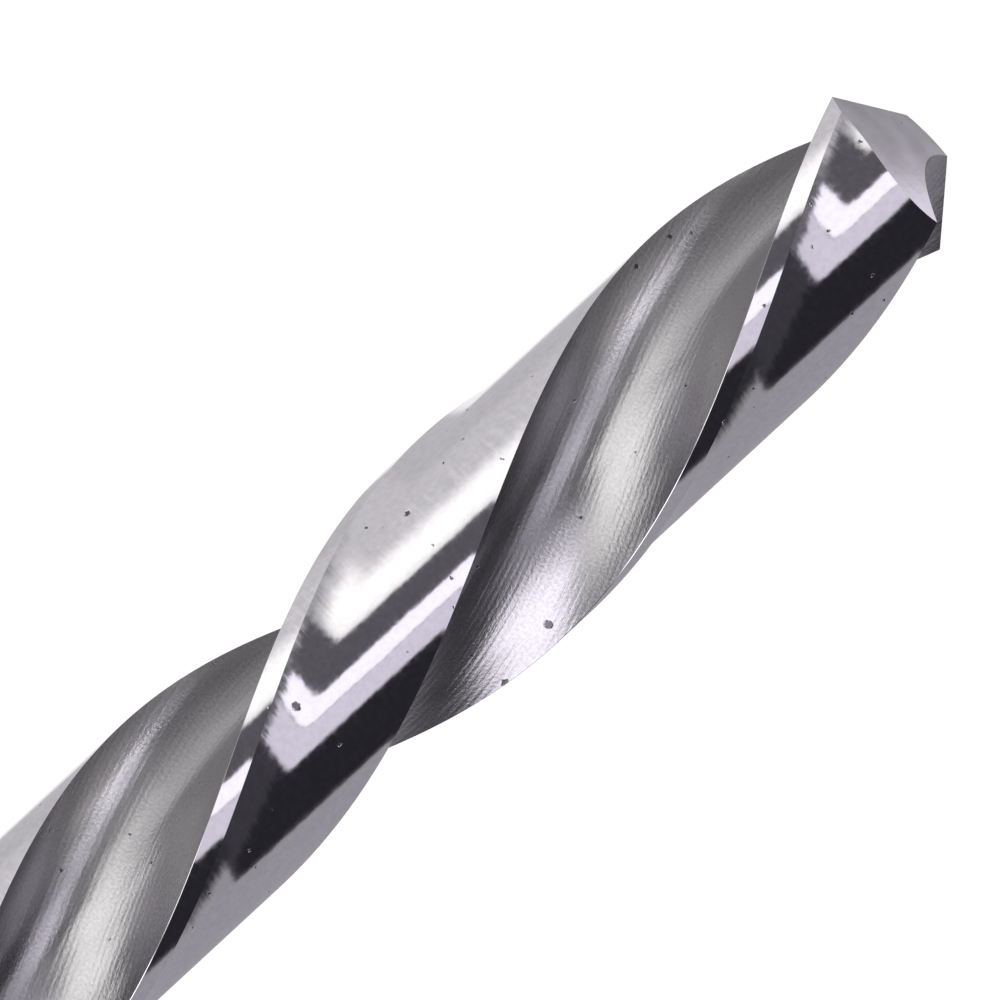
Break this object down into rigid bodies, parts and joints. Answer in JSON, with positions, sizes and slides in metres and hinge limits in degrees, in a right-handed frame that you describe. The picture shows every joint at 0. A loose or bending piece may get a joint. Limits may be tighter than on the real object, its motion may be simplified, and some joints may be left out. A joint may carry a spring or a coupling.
{
  "type": "twist drill bit",
  "caption": "Left-hand jobber-length twist drill with parallel shank, two helical flutes with raised margins and a conically ground point.",
  "frame": {"origin": "centre of the shank's flat end, on the axis", "axes": "+Z along the axis from the shank to the point; both cutting lips are parallel to X"},
  "size_m": [0.01, 0.01, 0.133],
  "materials": {
    "ground_steel": "bright ground high-speed steel: mirror-like lands and margins with fine grinding lines round them, duller flutes with helical wheel marks, matte flanks at the point"
  },
  "bodies": {
    "root": {"twist_drill": "ground_steel"}
  },
  "joints": []
}
